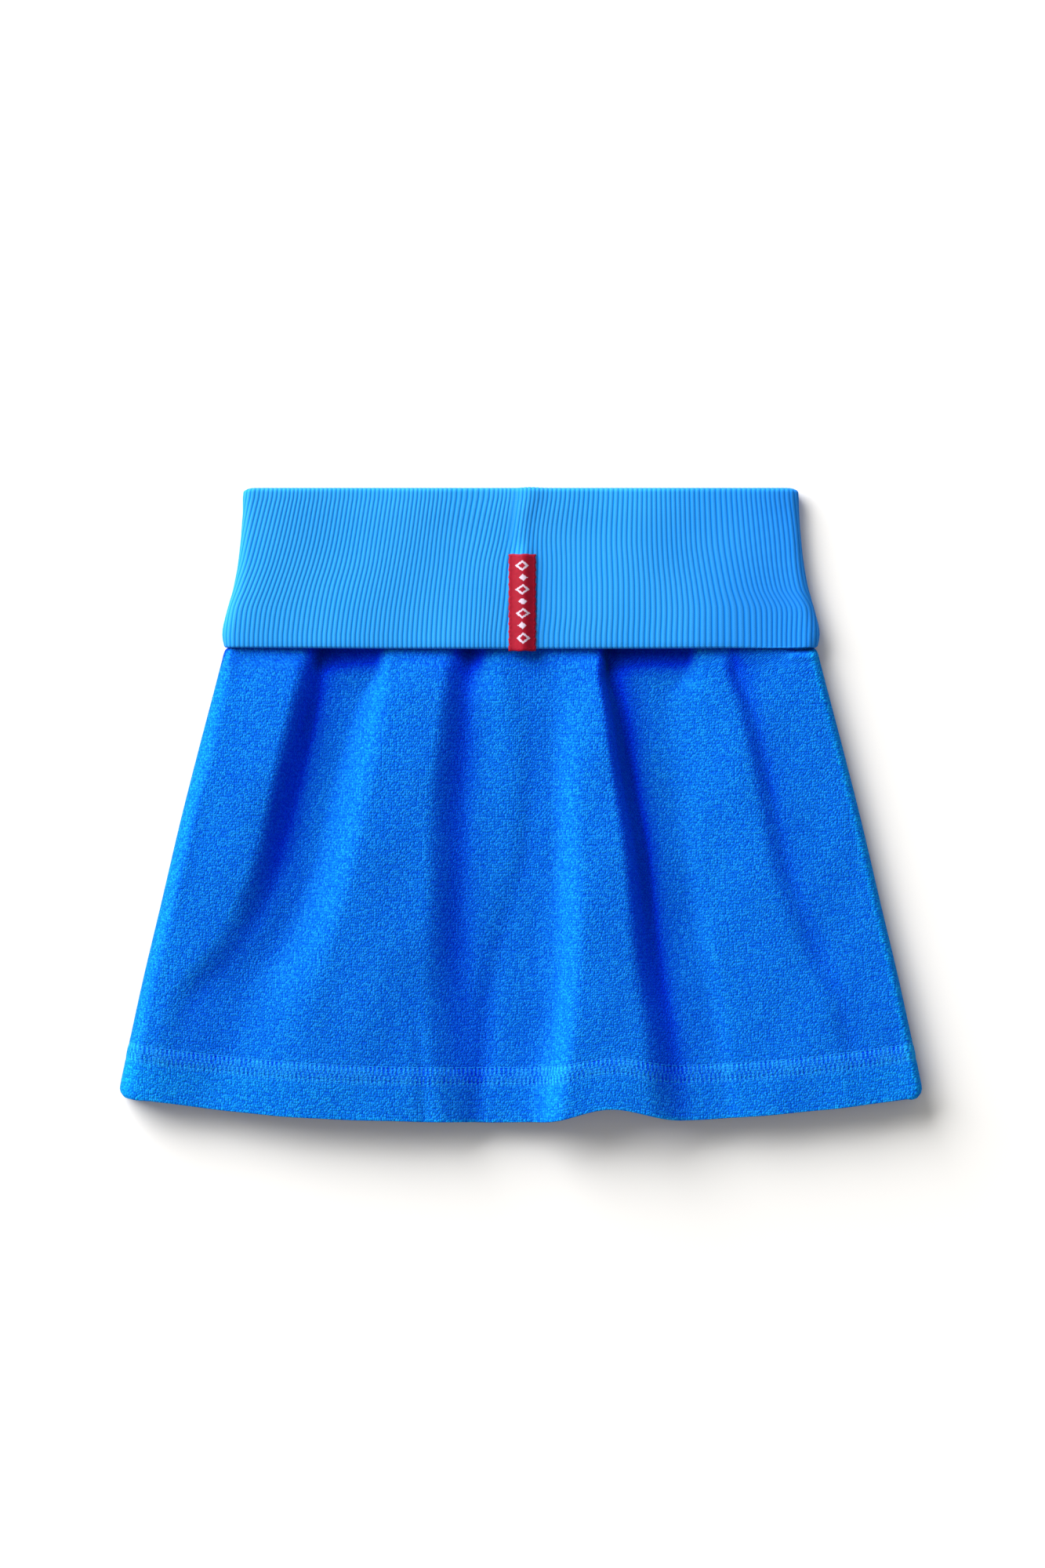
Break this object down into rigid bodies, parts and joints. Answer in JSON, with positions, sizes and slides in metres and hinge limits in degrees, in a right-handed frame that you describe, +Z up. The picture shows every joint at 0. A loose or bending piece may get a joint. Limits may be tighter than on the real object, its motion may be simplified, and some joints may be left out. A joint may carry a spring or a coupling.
{
  "type": "mini skirt",
  "caption": "Child's pull-on mini skirt laid flat: A-line terry panels with soft folds, a folded-over rib knit waistband and a small woven tape label.",
  "frame": {"origin": "bottom centre of the laid garment's box, on the surface that it lies on", "axes": "+X across the skirt to the right as seen from above, +Y up its length from hem to waist, +Z up off the surface"},
  "size_m": [0.342, 0.272, 0.0175],
  "materials": {
    "terry": "deep blue cotton terry, matt looped pile in fine wales",
    "rib_knit": "azure cotton rib knit, soft sheen along the ribs",
    "woven_label": "red satin-woven tape with a pale woven ornament"
  },
  "bodies": {
    "root": {"skirt_front": "terry", "skirt_back": "terry", "waistband": "rib_knit", "label": "woven_label"}
  },
  "joints": []
}
